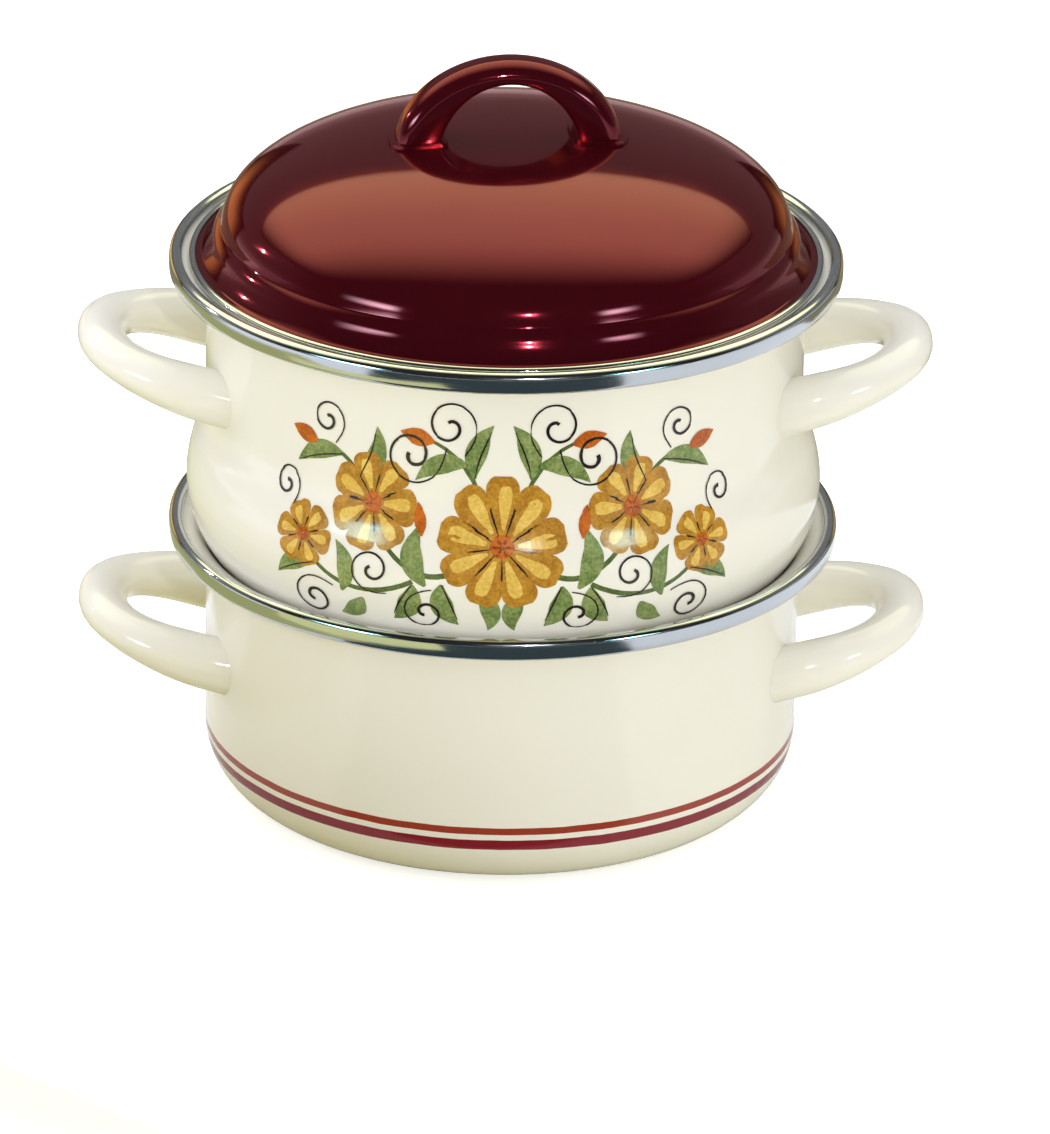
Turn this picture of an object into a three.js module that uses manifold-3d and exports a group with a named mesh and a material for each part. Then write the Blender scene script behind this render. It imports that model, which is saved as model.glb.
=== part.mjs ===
// Potato steamer in enamelled sheet steel: a lower water pot, a bellied steamer pot with a perforated
// bottom that hangs in the lower pot's flared lip, and a domed lid that lies inside the steamer's rim.
// Millimetres, +Z up. The origin is on the table, under the axis that all three pieces share.

import * as THREE from 'three';
import { mergeGeometries, mergeVertices } from 'three/addons/utils/BufferGeometryUtils.js';
import Module from 'manifold-3d';

// Sheet, clearance and facets
const SHEET = 1.2; // enamelled wall of the pots and the lid
const SEAT_GAP = 0.3; // clearance where one piece seats on another
const TURN_STEPS = 40; // facets round a turned piece
const BEND_STEPS = 18; // facets along a handle
const TUBE_SIDES = 12; // facets round a handle
const HOLE_SIDES = 10;
const DOME_STEPS = 10; // facets from the dome's edge to its top

// Wall, flared lip and steel rim, alike on both pots
const WALL_RADIUS = 90; // outside of the straight wall
const FLARE_RADIUS = 7; // underside of the flare
const LIP_LENGTH = 2.3; // flat lip beyond the flare, gripped by the rim
const RIM_WIDTH = 4;
const RIM_HEIGHT = 6.7;
const RIM_BACK = 1.5; // steel outside the lip's edge

// Lower pot
const LOWER_HEIGHT = 85.2; // table to the top of the lip
const LOWER_CORNER = 21; // round between base and wall
const BASE_RECESS = 0.8; // the middle of the base is stamped up by this
const BASE_RING = 9; // flat ring that stands on the hob
const LOWER_HANDLE_DROP = 35.5; // top of the lip to the handle's middle at the wall

// Steamer pot
const STEAMER_HEIGHT = 103.5; // its own base to the top of its lip
const BELLY_BULGE = 5.8; // how far the belly stands out from the wall
const BELLY_ARC = 35; // round from the belly down to the perforated base
const NECK_ARC = 35; // each half of the S-curve from belly to neck
const HOLE_DIAMETER = 6;
const HOLE_PITCH = 15; // between rings of holes
const HOLE_MARGIN = 12; // flat left outside the last ring
const STEAMER_HANDLE_DROP = 33.2;

// Loop handles of the pots: a flattened tube bent to a half loop that rises outwards
const HANDLE_REACH = 31.2; // wall to the middle of the tube at the outer end
const HANDLE_SPREAD = 30.5; // half the distance between the two roots
const HANDLE_SQUARENESS = 2.22; // 2 would make the loop a half ellipse
const HANDLE_RISE = THREE.MathUtils.degToRad(14.4);
const HANDLE_ROOT = 4; // the loop's bend starts this far inside the wall
const HANDLE_TAIL = 9; // straight end of the tube before the bend, cut to fit the wall
const GRIP_THICKNESS = 14.9; // tube at the outer end, across the loop
const GRIP_HEIGHT = 11.7;
const ROOT_THICKNESS = 16.4; // tube at the wall
const ROOT_HEIGHT = 16.3;
const ROOT_FLARE = 6; // how late the tube swells towards the wall
const TUBE_SQUARENESS = 2.5;

// Lid
const LID_PLAY = 1.9; // ring left free between the lid's rim and the steamer's
const LID_RIM_WIDTH = 2.3;
const LID_RIM_HEIGHT = 3.8;
const LID_RIM_BACK = 0.75;
const LID_SHOULDER = 6.2; // quarter round that rises from the lid's rim
const LID_GROOVE = 0.7; // hollow between shoulder and dome
const DOME_RISE = 30.6; // groove to the top of the dome
const DOME_SQUARENESS = 2.2; // 2 would make its section a half ellipse
const LID_TURN = THREE.MathUtils.degToRad(6); // how the lid happens to lie

// Lid handle: an arch, thin at the crown and broad at its two feet
const ARCH_SPAN = 68.8; // outside, at the base line
const ARCH_GAP = 42; // inside, at the base line
const ARCH_SINK = 5.4; // base line below the dome's top, before the feet are cut to fit
const ARCH_RISE = 24.1; // crown above the dome's top
const ARCH_CROWN = 6.6; // thickness at the crown
const ARCH_DEPTH = 14;
const ARCH_SQUARENESS = 3.6;
const FOOT_LIP = 1.3; // weld lip round each foot
const FOOT_LIP_THICKNESS = 0.8;

const wasm = await Module();
wasm.setup();

const enamelCream = new THREE.MeshStandardMaterial({ color: 0xefecd8, roughness: 0.16, metalness: 0 });
const enamelBurgundy = new THREE.MeshStandardMaterial({ color: 0x4a0d1a, roughness: 0.12, metalness: 0 });
const polishedSteel = new THREE.MeshStandardMaterial({ color: 0xc9cbcd, roughness: 0.18, metalness: 1 });

const point = (r, z) => new THREE.Vector2(r, z);

// A sine or cosine, bent so that the curve it draws comes nearer to a rectangle.
function squared(t, squareness) {
  return Math.sign(t) * Math.abs(t) ** (2 / squareness);
}

// Points along an arc of a section, angles in radians from the outward direction.
function arc(r, z, radius, from, to, steps) {
  const curve = new THREE.EllipseCurve(r, z, radius, radius, from, to, to < from);
  return curve.getPoints(steps);
}

// A section moved sideways by a distance, to the right of its direction of travel.
function offset(section, distance) {
  const normals = section.slice(1).map((next, i) => {
    const along = next.clone().sub(section[i]).normalize();
    return point(along.y, -along.x);
  });
  return section.map((here, i) => {
    const before = normals[Math.max(i - 1, 0)];
    const after = normals[Math.min(i, normals.length - 1)];
    if (here.x < 1e-6) return point(0, here.y + distance / before.y);
    const share = distance / (1 + before.dot(after));
    return here.clone().addScaledVector(before, share).addScaledVector(after, share);
  });
}

// A section turned about the Z axis.
function turned(section) {
  return new THREE.LatheGeometry(section, TURN_STEPS).rotateX(Math.PI / 2);
}

// The outside of a sheet piece, from axis to lip or from lip to axis, given the sheet's thickness.
function sheetSection(outside) {
  const inside = offset(outside, -SHEET).reverse();
  return outside[0].x < 1e-6 ? [...outside, ...inside] : [...inside, ...outside];
}

function solidOf(geometry) {
  const bare = geometry.clone();
  bare.deleteAttribute('normal');
  bare.deleteAttribute('uv');
  const merged = mergeVertices(bare, 1e-4);
  const corners = merged.index.array;
  const kept = [];
  for (let i = 0; i < corners.length; i += 3) {
    const [a, b, c] = corners.subarray(i, i + 3);
    if (a !== b && b !== c && c !== a) kept.push(a, b, c);
  }
  const vertProperties = new Float32Array(merged.attributes.position.array);
  return new wasm.Manifold(new wasm.Mesh({ numProp: 3, vertProperties, triVerts: new Uint32Array(kept) }));
}

function geometryOf(solid) {
  const { vertProperties, triVerts } = solid.getMesh();
  const geometry = new THREE.BufferGeometry();
  geometry.setAttribute('position', new THREE.BufferAttribute(vertProperties, 3));
  geometry.setIndex(new THREE.BufferAttribute(triVerts, 1));
  geometry.computeVertexNormals();
  return geometry;
}

// A closed skin over a row of rings with equal numbers of points.
function loft(rings) {
  const sides = rings[0].length;
  const last = rings.length - 1;
  const faces = [];
  for (let i = 0; i < last; i++) {
    for (let j = 0; j < sides; j++) {
      const [a, b] = [i * sides + j, i * sides + (j + 1) % sides];
      faces.push(a, b, a + sides, b, b + sides, a + sides);
    }
  }
  for (let j = 1; j < sides - 1; j++) {
    faces.push(0, j + 1, j);
    faces.push(last * sides, last * sides + j, last * sides + j + 1);
  }
  const geometry = new THREE.BufferGeometry().setFromPoints(rings.flat());
  geometry.setIndex(faces);
  return geometry;
}

// One ring of a tube: a rounded rectangle on two directions square to the tube.
function tubeRing(centre, across, thickness, up, height, squareness) {
  return Array.from({ length: TUBE_SIDES }, (_, j) => {
    const turn = (2 * Math.PI * j) / TUBE_SIDES;
    const u = squared(Math.cos(turn), squareness);
    const v = squared(Math.sin(turn), squareness);
    return centre.clone().addScaledVector(across, u * thickness / 2).addScaledVector(up, v * height / 2);
  });
}

// Sizes that follow from the ones above
const flareMiddle = WALL_RADIUS + FLARE_RADIUS;
const flareInside = FLARE_RADIUS + SHEET;
const lipEdge = flareMiddle + LIP_LENGTH;
const rimOutside = lipEdge + SEAT_GAP + RIM_BACK;
const rimInside = rimOutside - RIM_WIDTH;
const lowerFlareZ = LOWER_HEIGHT - flareInside;

const bellyRadius = WALL_RADIUS + BELLY_BULGE;
const bellyMiddle = bellyRadius - BELLY_ARC;
const bellyReach = BELLY_ARC + SEAT_GAP + flareInside;
const bellyZ = lowerFlareZ + Math.sqrt(bellyReach ** 2 - (flareMiddle - bellyMiddle) ** 2);
const steamerBaseZ = bellyZ - BELLY_ARC;
const steamerLipZ = steamerBaseZ + STEAMER_HEIGHT;
const steamerFlareZ = steamerLipZ - flareInside;

const lidRimOutside = rimInside - LID_PLAY;
const lidRimInside = lidRimOutside - LID_RIM_WIDTH;
const lidRimMiddle = (lidRimInside + lidRimOutside) / 2;
const lidRimReach = flareInside + SEAT_GAP + LID_RIM_WIDTH / 2;
const lidRimFootZ = steamerFlareZ + Math.sqrt(lidRimReach ** 2 - (flareMiddle - lidRimMiddle) ** 2);
const lidRimZ = lidRimFootZ + (LID_RIM_HEIGHT - LID_RIM_WIDTH) / 2;
const lidLipZ = lidRimZ + SHEET / 2;
const lidLipEdge = lidRimOutside - LID_RIM_BACK - SEAT_GAP;
const grooveMiddle = lidRimInside - SEAT_GAP - LID_SHOULDER;
const grooveZ = lidLipZ + LID_SHOULDER + LID_GROOVE;
const domeWall = grooveMiddle - LID_GROOVE;
const domeTopZ = grooveZ + DOME_RISE;

// Flare and lip at the top of a pot, seen from outside
function flaredLip(lipZ) {
  const flare = arc(flareMiddle, lipZ - flareInside, FLARE_RADIUS, Math.PI, Math.PI / 2, 3);
  return [...flare, point(lipEdge, lipZ - SHEET)];
}

function lowerPotOutside() {
  const cornerMiddle = WALL_RADIUS - LOWER_CORNER;
  const ringInside = cornerMiddle - BASE_RING;
  return [
    point(0, BASE_RECESS),
    point(ringInside - BASE_RECESS, BASE_RECESS),
    point(ringInside, 0),
    ...arc(cornerMiddle, LOWER_CORNER, LOWER_CORNER, -Math.PI / 2, 0, 5),
    ...flaredLip(LOWER_HEIGHT),
  ];
}

function steamerOutside() {
  const bend = Math.acos(1 - BELLY_BULGE / (2 * NECK_ARC));
  const bellyTop = arc(bellyRadius - NECK_ARC, bellyZ, NECK_ARC, 0, bend, 2).slice(1);
  const neckZ = bellyZ + 2 * NECK_ARC * Math.sin(bend);
  const neck = arc(WALL_RADIUS + NECK_ARC, neckZ, NECK_ARC, Math.PI + bend, Math.PI, 2).slice(1);
  return [
    point(0, steamerBaseZ),
    ...arc(bellyMiddle, bellyZ, BELLY_ARC, -Math.PI / 2, 0, 6),
    ...bellyTop,
    ...neck,
    ...flaredLip(steamerLipZ),
  ];
}

function domeSection() {
  return Array.from({ length: DOME_STEPS + 1 }, (_, i) => {
    const turn = (Math.PI * i) / (2 * DOME_STEPS);
    const across = i < DOME_STEPS ? squared(Math.cos(turn), DOME_SQUARENESS) : 0;
    return point(domeWall * across, grooveZ + DOME_RISE * squared(Math.sin(turn), DOME_SQUARENESS));
  });
}

function lidOutside() {
  return [
    point(lidLipEdge, lidLipZ),
    ...arc(grooveMiddle, lidLipZ, LID_SHOULDER, 0, Math.PI / 2, 4),
    ...arc(grooveMiddle, grooveZ, LID_GROOVE, 1.5 * Math.PI, Math.PI, 2).slice(1),
    ...domeSection().slice(1),
  ];
}

// Rolled steel rim: a rounded band with a slot in its inner side that grips the lip.
function rim(middle, z, width, height, back) {
  const end = (height - width) / 2;
  const slot = SHEET / 2 + SEAT_GAP;
  const slotEnd = middle + width / 2 - back;
  const inside = middle - width / 2;
  const band = [
    ...arc(middle, z - end, width / 2, Math.PI, 2 * Math.PI, 3),
    ...arc(middle, z + end, width / 2, 0, Math.PI, 3),
  ];
  const cut = [
    point(inside - width, z - slot),
    point(slotEnd, z - slot),
    point(slotEnd, z + slot),
    point(inside - width, z + slot),
  ];
  const ring = (section) => solidOf(turned([...section, section[0].clone()]));
  return geometryOf(ring(band).subtract(ring(cut)));
}

function potRim(lipZ) {
  return rim((rimInside + rimOutside) / 2, lipZ - SHEET / 2, RIM_WIDTH, RIM_HEIGHT, RIM_BACK);
}

// Rings of round holes for the steam, with six more holes in each ring than in the one inside it.
function steamHoles() {
  const radius = HOLE_DIAMETER / 2;
  const hole = new THREE.CylinderGeometry(radius, radius, 4 * SHEET, HOLE_SIDES).rotateX(Math.PI / 2);
  hole.translate(0, 0, steamerBaseZ + SHEET / 2);
  const holes = [hole];
  for (let ring = 1; ring * HOLE_PITCH <= bellyMiddle - HOLE_MARGIN; ring++) {
    const first = hole.clone().translate(ring * HOLE_PITCH, 0, 0);
    for (let i = 0; i < 6 * ring; i++) {
      holes.push(first.clone().rotateZ((2 * Math.PI * i) / (6 * ring)));
    }
  }
  return solidOf(mergeGeometries(holes));
}

// Everything inside a pot's outer surface and the fitting gap round it.
function envelope(outside, top) {
  return solidOf(turned([...offset(outside, SEAT_GAP), point(0, top)]));
}

// Middle line of a loop handle, from one root to the other.
class HandleLine extends THREE.Curve {
  getPoint(t) {
    const turn = (t - 0.5) * Math.PI;
    const bow = squared(Math.cos(turn), HANDLE_SQUARENESS);
    const side = squared(Math.sin(turn), HANDLE_SQUARENESS);
    const out = bow * (HANDLE_REACH + HANDLE_ROOT) - HANDLE_ROOT;
    return new THREE.Vector3(WALL_RADIUS + out, side * HANDLE_SPREAD, out * Math.tan(HANDLE_RISE));
  }
}

// Loop handle on the +X side, its ends cut to the pot's outside.
function loopHandle(middleZ, potEnvelope) {
  const line = new HandleLine();
  const up = new THREE.Vector3(-Math.sin(HANDLE_RISE), 0, Math.cos(HANDLE_RISE));
  const rings = Array.from({ length: BEND_STEPS + 1 }, (_, i) => {
    const t = i / BEND_STEPS;
    const across = up.clone().cross(line.getTangent(t));
    const flare = Math.abs(Math.sin((t - 0.5) * Math.PI)) ** ROOT_FLARE;
    const thickness = THREE.MathUtils.lerp(GRIP_THICKNESS, ROOT_THICKNESS, flare);
    const height = THREE.MathUtils.lerp(GRIP_HEIGHT, ROOT_HEIGHT, flare);
    const ring = tubeRing(line.getPoint(t), across, thickness, up, height, TUBE_SQUARENESS);
    return ring.map((corner) => corner.setZ(corner.z + middleZ));
  });
  const inwards = new THREE.Vector3(-Math.cos(HANDLE_RISE), 0, -Math.sin(HANDLE_RISE));
  const tail = (ring) => ring.map((corner) => corner.clone().addScaledVector(inwards, HANDLE_TAIL));
  const tube = [tail(rings[0]), ...rings, tail(rings[BEND_STEPS])];
  return geometryOf(solidOf(loft(tube)).subtract(potEnvelope));
}

// The arch between an outer and an inner half ellipse, all round fuller by a margin.
function arch(margin) {
  const baseZ = domeTopZ - ARCH_SINK;
  const outerRise = ARCH_SINK + ARCH_RISE;
  const innerRise = outerRise - ARCH_CROWN;
  const depthwise = new THREE.Vector3(0, 1, 0);
  const rings = Array.from({ length: BEND_STEPS + 1 }, (_, i) => {
    const turn = (Math.PI * i) / BEND_STEPS;
    const [u, v] = [Math.cos(turn), Math.sin(turn)];
    const outer = new THREE.Vector3((u * ARCH_SPAN) / 2, 0, baseZ + v * outerRise);
    const inner = new THREE.Vector3((u * ARCH_GAP) / 2, 0, baseZ + v * innerRise);
    const across = outer.clone().sub(inner);
    const thickness = across.length() + 2 * margin;
    const centre = outer.lerp(inner, 0.5);
    const depth = ARCH_DEPTH + 2 * margin;
    return tubeRing(centre, across.normalize(), thickness, depthwise, depth, ARCH_SQUARENESS);
  });
  return solidOf(loft(rings));
}

// Everything under the lid's outer surface, fuller by a margin.
function underDome(margin) {
  const dome = offset(lidOutside(), margin);
  return solidOf(turned([point(0, dome[0].y), ...dome]));
}

// Arch handle of the lid with a thin weld lip round each foot.
function lidHandle() {
  const lips = arch(FOOT_LIP).intersect(underDome(SEAT_GAP + FOOT_LIP_THICKNESS));
  return geometryOf(arch(0).add(lips).subtract(underDome(SEAT_GAP)));
}

function named(name, geometry, material) {
  const mesh = new THREE.Mesh(geometry, material);
  mesh.name = name;
  return mesh;
}

// A pot's own pieces: body, rim and two handles that face each other.
function pot(name, body, outside, lipZ, handleDrop) {
  const group = new THREE.Group();
  const handle = loopHandle(lipZ - handleDrop, envelope(outside, lipZ));
  const leftHandle = named(`${name}_handle_left`, handle, enamelCream);
  leftHandle.rotation.z = Math.PI;
  group.add(
    named(`${name}_body`, body, enamelCream),
    named(`${name}_rim`, potRim(lipZ), polishedSteel),
    named(`${name}_handle_right`, handle, enamelCream),
    leftHandle,
  );
  return group;
}

function lowerPot() {
  const outside = lowerPotOutside();
  return pot('lower_pot', turned(sheetSection(outside)), outside, LOWER_HEIGHT, LOWER_HANDLE_DROP);
}

function steamerPot() {
  const outside = steamerOutside();
  const body = geometryOf(solidOf(turned(sheetSection(outside))).subtract(steamHoles()));
  return pot('steamer', body, outside, steamerLipZ, STEAMER_HANDLE_DROP);
}

function lid() {
  const group = new THREE.Group();
  group.rotation.z = LID_TURN;
  group.add(
    named('lid_dome', turned(sheetSection(lidOutside())), enamelBurgundy),
    named('lid_rim', rim(lidRimMiddle, lidRimZ, LID_RIM_WIDTH, LID_RIM_HEIGHT, LID_RIM_BACK), polishedSteel),
    named('lid_handle', lidHandle(), enamelBurgundy),
  );
  return group;
}

const steamerSet = new THREE.Group();
steamerSet.add(lowerPot(), steamerPot(), lid());

export default steamerSet;
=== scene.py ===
import math

import bpy
from mathutils import Matrix, Vector


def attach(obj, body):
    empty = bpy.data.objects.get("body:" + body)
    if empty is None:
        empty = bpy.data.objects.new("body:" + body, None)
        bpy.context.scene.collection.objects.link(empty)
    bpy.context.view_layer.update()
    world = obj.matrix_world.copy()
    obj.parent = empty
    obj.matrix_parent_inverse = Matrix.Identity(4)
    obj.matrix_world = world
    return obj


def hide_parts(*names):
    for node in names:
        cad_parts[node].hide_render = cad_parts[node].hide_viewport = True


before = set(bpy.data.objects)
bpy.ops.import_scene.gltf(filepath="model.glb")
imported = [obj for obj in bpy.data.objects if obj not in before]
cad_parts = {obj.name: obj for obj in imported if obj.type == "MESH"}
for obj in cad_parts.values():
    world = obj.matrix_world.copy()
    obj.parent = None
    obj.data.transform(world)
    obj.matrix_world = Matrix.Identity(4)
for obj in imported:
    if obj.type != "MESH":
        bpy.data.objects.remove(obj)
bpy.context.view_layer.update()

# Lower pot. A bowl drawn from sheet steel and enamelled cream inside and out, with two red lines
# fired on round its foot. The base is stamped up inside a flat ring that stands on the hob, and the
# lip flares out to carry the steamer pot and the steel rim.
MM = 0.001
NEAR = 0.02 * MM
ROUND = 144  # facets round a turned piece
SMOOTH = math.radians(32)
SHEET = 1.2 * MM
WALL = 90 * MM
FLARE = 7 * MM
LIP_EDGE = 99.3 * MM
LOWER_LIP = 85.2 * MM  # top of the lip above the table
LOWER_CORNER = 21 * MM
BASE_RING = 60 * MM
BASE_RECESS = 0.8 * MM
BASE_FOLD = 0.4 * MM
CREAM = (0.885, 0.865, 0.785, 1)
SPECK = (0.02, 0.016, 0.012, 1)
LINE_RED = (0.235, 0.012, 0.022, 1)
LINE_BROWN = (0.33, 0.045, 0.024, 1)
LINES = ((15.3 * MM, 18.7 * MM, LINE_RED), (20.5 * MM, 22.7 * MM, LINE_BROWN))  # from, to, colour
LINE_SWAY = 0.25 * MM
LINES_INSIDE = 88.9 * MM  # the lines are on what lies further out than this


def turned(name, rings):
    """A circle extruded from one (radius, height) to the next, left in edit mode."""
    bpy.ops.object.select_all(action="DESELECT")
    radius, height = rings[0]
    bpy.ops.mesh.primitive_circle_add(vertices=ROUND, radius=radius, location=(0, 0, height))
    bpy.ops.object.transform_apply(location=True, rotation=False, scale=False)
    piece = bpy.context.object
    piece.name = piece.data.name = name
    bpy.ops.object.mode_set(mode="EDIT")
    bpy.ops.mesh.select_mode(type="EDGE")
    bpy.ops.mesh.select_all(action="SELECT")
    for wider, higher in rings[1:]:
        bpy.ops.mesh.extrude_region_move(TRANSFORM_OT_translate={"value": (0, 0, higher - height)})
        bpy.ops.transform.resize(value=(wider / radius, wider / radius, 1), center_override=(0, 0, higher))
        radius, height = wider, higher
    return piece


def pick(piece, kind, wanted):
    """Selects, in edit mode, only the edges or faces whose corners all pass a test."""
    bpy.ops.mesh.select_mode(type=kind)
    bpy.ops.mesh.select_all(action="DESELECT")
    bpy.ops.object.mode_set(mode="OBJECT")
    passed = [wanted(corner.co) for corner in piece.data.vertices]
    parts = piece.data.edges if kind == "EDGE" else piece.data.polygons
    for part in parts:
        part.select = all(passed[i] for i in part.vertices)
    bpy.ops.object.mode_set(mode="EDIT")


def on_ring(radius, height):
    return lambda at: abs(at.xy.length - radius) < NEAR and abs(at.z - height) < NEAR


def close_ring(piece, radius, height):
    pick(piece, "EDGE", on_ring(radius, height))
    bpy.ops.mesh.edge_face_add()


def round_ring(piece, radius, height, by, segments):
    pick(piece, "EDGE", on_ring(radius, height))
    bpy.ops.mesh.bevel(offset=by, segments=segments, affect="EDGES")


def give_sheet(piece):
    """Turns the faces outwards and gives the sheet its thickness on the inside."""
    bpy.ops.mesh.select_all(action="SELECT")
    bpy.ops.mesh.remove_doubles(threshold=NEAR)
    bpy.ops.mesh.normals_make_consistent(inside=False)
    bpy.ops.object.mode_set(mode="OBJECT")
    outward = [face.normal.xy.dot(face.center.xy) for face in piece.data.polygons]
    if max(outward, key=abs) < 0:
        bpy.ops.object.mode_set(mode="EDIT")
        bpy.ops.mesh.flip_normals()
        bpy.ops.object.mode_set(mode="OBJECT")
    sheet = piece.modifiers.new("sheet", "SOLIDIFY")
    sheet.thickness, sheet.offset, sheet.use_even_offset = SHEET, -1, True
    bpy.ops.object.modifier_apply(modifier=sheet.name)
    bpy.ops.object.shade_smooth_by_angle(angle=SMOOTH)


def put(tree, kind, feeds=None, **settings):
    """A node with its settings, its inputs fed by other nodes' sockets or set to plain values."""
    made = tree.nodes.new(kind)
    for name, value in settings.items():
        setattr(made, name, value)
    for socket, value in (feeds or {}).items():
        if isinstance(value, bpy.types.NodeSocket):
            tree.links.new(value, made.inputs[socket])
        else:
            made.inputs[socket].default_value = value
    return made


def maths(tree, operation, first, second):
    return put(tree, "ShaderNodeMath", {0: first, 1: second}, operation=operation).outputs[0]


def mixed(tree, share, first, second, blend="MIX"):
    """The second colour laid over the first, by a share."""
    return put(tree, "ShaderNodeMix", {0: share, 6: first, 7: second}, data_type="RGBA",
               blend_type=blend).outputs[2]


def effect(name, inputs, outputs):
    """An empty node group with named sockets, and its input and output nodes."""
    tree = bpy.data.node_groups.new(name, "ShaderNodeTree")
    for way, sockets in (("INPUT", inputs), ("OUTPUT", outputs)):
        for socket, kind in sockets:
            tree.interface.new_socket(socket, in_out=way, socket_type="NodeSocket" + kind)
    return tree, tree.nodes.new("NodeGroupInput").outputs, tree.nodes.new("NodeGroupOutput").inputs


def finish(name):
    """A new material, its node tree and its shader."""
    material = bpy.data.materials.new(name)
    material.use_nodes = True
    return material, material.node_tree, material.node_tree.nodes["Principled BSDF"]


# Fired glaze: a broad drift of tone, a faint orange peel, and a few iron specks.
glaze, given, out = effect(
    "fired_glaze",
    [("Color", "Color"), ("Drift", "Float"), ("Specks", "Float"), ("Roughness", "Float"), ("Peel", "Float")],
    [("Color", "Color"), ("Roughness", "Float"), ("Normal", "Vector")],
)
place = put(glaze, "ShaderNodeTexCoord").outputs["Object"]
drift = put(glaze, "ShaderNodeTexNoise", {"Vector": place, "Scale": 17, "Detail": 3})
low = maths(glaze, "SUBTRACT", 1, given["Drift"])
tone = put(glaze, "ShaderNodeMapRange", {
    "Value": drift.outputs["Fac"], "From Min": 0.3, "From Max": 0.7,
    "To Min": low, "To Max": 1})
toned = mixed(glaze, 1, given["Color"], tone.outputs[0], "MULTIPLY")
grain = put(glaze, "ShaderNodeTexVoronoi", {"Vector": place, "Scale": 75})
chance = put(glaze, "ShaderNodeSeparateColor", {0: grain.outputs["Color"]})
rare = maths(glaze, "GREATER_THAN", chance.outputs[0], 0.86)
dot = put(glaze, "ShaderNodeMapRange", {
    "Value": grain.outputs["Distance"], "From Min": 0.012, "From Max": 0.026, "To Min": 1, "To Max": 0})
speck = maths(glaze, "MULTIPLY", dot.outputs[0], rare)
shown = maths(glaze, "MULTIPLY", speck, given["Specks"])
specked = mixed(glaze, shown, toned, SPECK)
haze = put(glaze, "ShaderNodeTexNoise", {"Vector": place, "Scale": 42, "Detail": 2})
uneven = put(glaze, "ShaderNodeMapRange", {
    "Value": haze.outputs["Fac"], "From Min": 0.3, "From Max": 0.7, "To Min": 0.8, "To Max": 1.25})
matt = maths(glaze, "MULTIPLY", uneven.outputs[0], given["Roughness"])
peel = put(glaze, "ShaderNodeTexNoise", {"Vector": place, "Scale": 130, "Detail": 1})
bump = put(glaze, "ShaderNodeBump", {
    "Strength": given["Peel"], "Distance": 0.1 * MM, "Height": peel.outputs["Fac"]})
glaze.links.new(specked, out["Color"])
glaze.links.new(matt, out["Roughness"])
glaze.links.new(bump.outputs[0], out["Normal"])

# A line painted round the outside of a wall, between two heights, with a slightly uneven edge.
line, given, out = effect(
    "fired_line", [("Low", "Float"), ("High", "Float"), ("Inside Radius", "Float")], [("Mask", "Float")])
place = put(line, "ShaderNodeTexCoord").outputs["Object"]
shake = put(line, "ShaderNodeTexNoise", {"Vector": place, "Scale": 90, "Detail": 2})
sway = put(line, "ShaderNodeMapRange", {
    "Value": shake.outputs["Fac"], "To Min": -LINE_SWAY, "To Max": LINE_SWAY})
axes = put(line, "ShaderNodeSeparateXYZ", {0: place})
height = maths(line, "ADD", axes.outputs["Z"], sway.outputs[0])
above = maths(line, "GREATER_THAN", height, given["Low"])
below = maths(line, "LESS_THAN", height, given["High"])
flat = put(line, "ShaderNodeVectorMath", {0: place, 1: (1, 1, 0)}, operation="MULTIPLY")
reach = put(line, "ShaderNodeVectorMath", {0: flat.outputs[0]}, operation="LENGTH")
outside = maths(line, "GREATER_THAN", reach.outputs["Value"], given["Inside Radius"])
between = maths(line, "MULTIPLY", above, below)
mask = maths(line, "MULTIPLY", between, outside)
line.links.new(mask, out["Mask"])


def glaze_over(tree, shader, **values):
    """Lays the fired glaze, with its values, on a shader."""
    coat = put(tree, "ShaderNodeGroup", values, node_tree=glaze)
    for socket, goal in (("Color", "Base Color"), ("Roughness", "Roughness"), ("Normal", "Normal")):
        tree.links.new(coat.outputs[socket], shader.inputs[goal])
    return coat


def cream_enamel(name):
    """Cream enamel as on both pots and their handles."""
    material, tree, shader = finish(name)
    coat = glaze_over(tree, shader, Color=CREAM, Drift=0.035, Specks=0.75, Roughness=0.1, Peel=0.25)
    shader.inputs["IOR"].default_value = 1.52
    return material, tree, shader, coat


lower_under = LOWER_LIP - SHEET
lower_pot = turned("lower_pot_shell", [
    (BASE_RING - BASE_RECESS, BASE_RECESS), (BASE_RING, 0), (WALL, 0), (WALL, lower_under),
    (LIP_EDGE, lower_under)])
close_ring(lower_pot, BASE_RING - BASE_RECESS, BASE_RECESS)
round_ring(lower_pot, BASE_RING - BASE_RECESS, BASE_RECESS, BASE_FOLD, 3)
round_ring(lower_pot, BASE_RING, 0, BASE_FOLD, 3)
round_ring(lower_pot, WALL, 0, LOWER_CORNER, 14)
round_ring(lower_pot, WALL, lower_under, FLARE, 8)
give_sheet(lower_pot)

lined_cream, tree, shader, coat = cream_enamel("cream_enamel_lined")
painted = coat.outputs["Color"]
for low, high, red in LINES:
    band = put(tree, "ShaderNodeGroup", {"Low": low, "High": high, "Inside Radius": LINES_INSIDE},
               node_tree=line)
    painted = mixed(tree, band.outputs["Mask"], painted, red)
tree.links.new(painted, shader.inputs["Base Color"])
lower_pot.data.materials.append(lined_cream)
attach(lower_pot, "lower_pot")
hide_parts("lower_pot_body")

# Rolled rims of the two pots. Polished stainless strip, folded over the lip's raw edge so that it
# grips the enamelled sheet in a slot on its inner side.
RIM_INSIDE = 97.1 * MM
RIM_OUTSIDE = 101.1 * MM
RIM_HEIGHT = 6.7 * MM
RIM_FACETS = 20
SLOT_PLAY = 0.3 * MM
STEAMER_LIP = 169.62 * MM
STEEL = (0.64, 0.67, 0.7, 1)

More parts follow.
